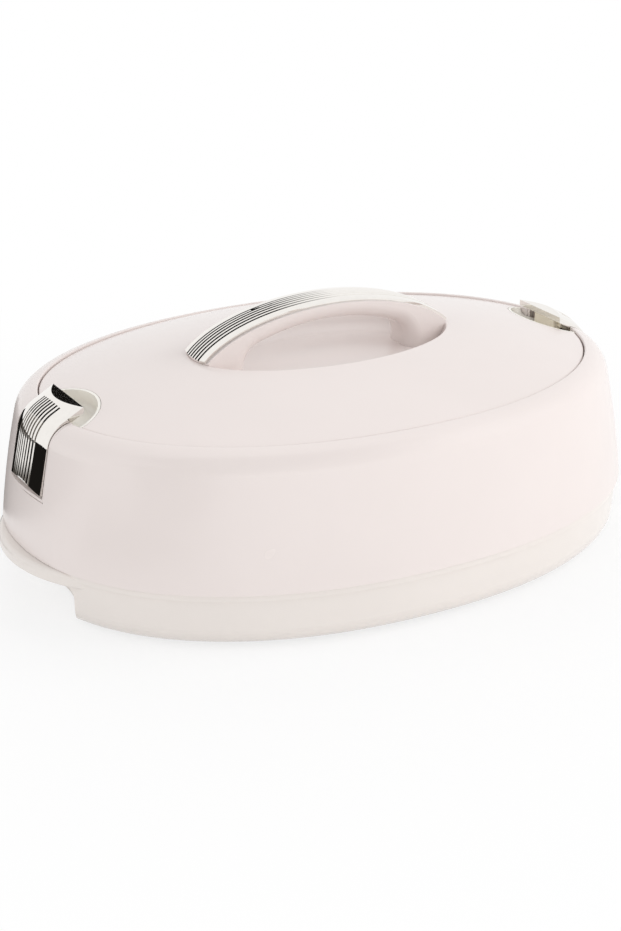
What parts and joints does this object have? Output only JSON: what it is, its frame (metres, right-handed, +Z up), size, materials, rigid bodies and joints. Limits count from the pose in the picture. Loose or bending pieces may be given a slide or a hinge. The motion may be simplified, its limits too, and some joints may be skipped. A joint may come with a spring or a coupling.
{
  "type": "insulated casserole",
  "caption": "Insulated oval casserole with a steel bowl, a crowned lift-off lid with a bridge handle, and hinged latches at both ends.",
  "frame": {"origin": "on the floor under the middle of the base, at the underside of the rubber feet", "axes": "+Z up, +X along the long axis towards one latch, +Y across the body"},
  "size_m": [0.394, 0.281, 0.1495],
  "materials": {
    "white_shell": "glossy",
    "ivory_insert": "satin",
    "chrome_trim": "polished",
    "bowl_steel": "brushed",
    "pin_steel": "plain",
    "foam_core": "matte",
    "seal_rubber": "matte",
    "foot_rubber": "matte"
  },
  "bodies": {
    "body": {"base_shell": "white_shell", "outer_shell": "white_shell", "mouth_ring": "white_shell", "inner_bowl": "bowl_steel", "body_foam": "foam_core", "rubber_feet": "foot_rubber", "latch_housing_left": "white_shell", "latch_housing_right": "white_shell", "latch_pin_left": "pin_steel", "latch_pin_right": "pin_steel"},
    "lid": {"lid_cover": "white_shell", "lid_pan": "bowl_steel", "lid_foam": "foam_core", "lid_gasket": "seal_rubber", "handle_grip": "white_shell", "handle_trim": "chrome_trim", "handle_screws": "pin_steel", "latch_catch_left": "ivory_insert", "latch_catch_right": "ivory_insert"},
    "latch_left": {"latch_lever_left": "chrome_trim", "latch_hook_left": "ivory_insert"},
    "latch_right": {"latch_lever_right": "chrome_trim", "latch_hook_right": "ivory_insert"}
  },
  "joints": [
    {"name": "lid_lift", "type": "slide", "parent": "body", "child": "lid", "axis": [0, 0, 1], "range_m": [0, 0.0265]},
    {"name": "latch_left_hinge", "type": "hinge", "parent": "body", "child": "latch_left", "pos_m": [-0.1806, 0, 0.076], "axis": [0, -1, 0], "range_deg": [0, 100]},
    {"name": "latch_right_hinge", "type": "hinge", "parent": "body", "child": "latch_right", "pos_m": [0.1806, 0, 0.076], "axis": [0, 1, 0], "range_deg": [0, 100]}
  ],
  "couplings": [
    {"joint": "latch_left_hinge", "follows": "lid_lift", "rad_per_m": 65.859},
    {"joint": "latch_right_hinge", "follows": "lid_lift", "rad_per_m": 65.859}
  ]
}
